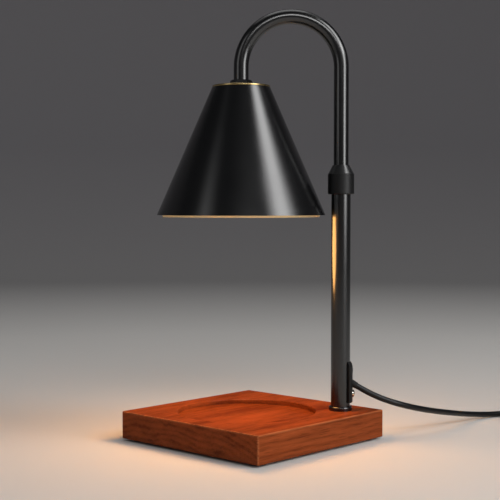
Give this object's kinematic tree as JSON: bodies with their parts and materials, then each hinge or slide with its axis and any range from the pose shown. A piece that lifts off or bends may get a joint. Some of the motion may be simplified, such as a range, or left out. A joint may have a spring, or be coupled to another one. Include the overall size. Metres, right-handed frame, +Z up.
{
  "type": "candle warmer lamp",
  "caption": "Table lamp that melts a jar candle from above: square walnut base with a round recess, mast, height-adjustable gooseneck arm and black cone shade with a gold rim.",
  "frame": {"origin": "centre of the square base, on the surface that the feet stand on", "axes": "+Z up along the mast; +X along the base's diagonal from the candle towards the mast; the shade hangs over the -X side of the mast"},
  "size_m": [0.4122, 0.2162, 0.3469],
  "materials": {
    "walnut": "satin varnish",
    "foot_rubber": "matt",
    "black_powder_coat": "satin black powder coat",
    "gold_lacquer": "gold lacquer",
    "brass": "polished",
    "zinc_steel": "zinc plated",
    "black_steel": "black oxide",
    "nickel": "polished nickel",
    "black_nylon": "moulded, fine grain",
    "wire_insulation": "smooth",
    "black_pvc": "satin",
    "tie_tape": "woven hook and loop tape",
    "white_ceramic": "unglazed steatite",
    "bulb_glass": "metallised reflector glass",
    "frosted_glass": "frosted"
  },
  "bodies": {
    "base": {"button_spring": "zinc_steel", "cord_coil": "black_pvc", "cord_strain_relief": "foot_rubber", "cord_tie": "tie_tape", "foot_pad_1": "foot_rubber", "foot_pad_2": "foot_rubber", "foot_pad_3": "foot_rubber", "foot_pad_4": "foot_rubber", "housing_screw": "black_steel", "mast_bolt": "zinc_steel", "mast_foot_ring": "black_powder_coat", "mast_plug": "zinc_steel", "mast_tube": "black_powder_coat", "mast_washer": "zinc_steel", "mast_wire": "wire_insulation", "plug_blades": "brass", "plug_body": "black_pvc", "plug_boot": "black_pvc", "plug_tail": "black_pvc", "slack_wire": "wire_insulation", "splice_sleeve": "wire_insulation", "supply_cord": "black_pvc", "switch_body": "black_nylon", "switch_housing": "black_nylon", "switch_leads": "wire_insulation", "wooden_base": "walnut"},
    "clamp_collar": {"clamp_collar": "black_powder_coat"},
    "collet_bush": {"collet_bush": "black_nylon"},
    "arm": {"arm_tube": "black_powder_coat", "arm_stop_ring": "zinc_steel", "arm_wire": "wire_insulation", "neck_nut": "black_powder_coat", "shade_cap": "brass", "shade": "black_powder_coat", "shade_liner": "gold_lacquer", "threaded_nipple": "brass", "lock_washer": "zinc_steel", "lock_nut": "zinc_steel", "holder_bracket": "zinc_steel", "holder_screws": "zinc_steel", "lamp_holder": "white_ceramic"},
    "bulb": {"bulb_body": "bulb_glass", "bulb_lens": "frosted_glass", "bulb_capsule": "bulb_glass", "bulb_pins": "brass"},
    "push_button": {"push_button": "nickel"}
  },
  "joints": [
    {"name": "collar_turn", "type": "hinge", "parent": "base", "child": "clamp_collar", "pos_m": [0.071, 0, 0.207], "axis": [0, 0, 1], "range_deg": [0, 360]},
    {"name": "arm_swivel", "type": "hinge", "parent": "base", "child": "collet_bush", "pos_m": [0.071, 0, 0.205], "axis": [0, 0, 1], "range_deg": [-160, 160]},
    {"name": "arm_height", "type": "slide", "parent": "collet_bush", "child": "arm", "axis": [0, 0, 1], "range_m": [-0.07, 0.035], "deforming": ["slack_wire"]},
    {"name": "bulb_twist", "type": "hinge", "parent": "arm", "child": "bulb", "pos_m": [-0.0095, 0, 0.25], "axis": [0, 0, -1], "range_deg": [0, 30]},
    {"name": "button_press", "type": "slide", "parent": "base", "child": "push_button", "axis": [-1, 0, 0], "range_m": [0, 0.0013], "stiffness_N_per_m": 800, "springref_m": -0.001, "deforming": ["button_spring"]}
  ]
}
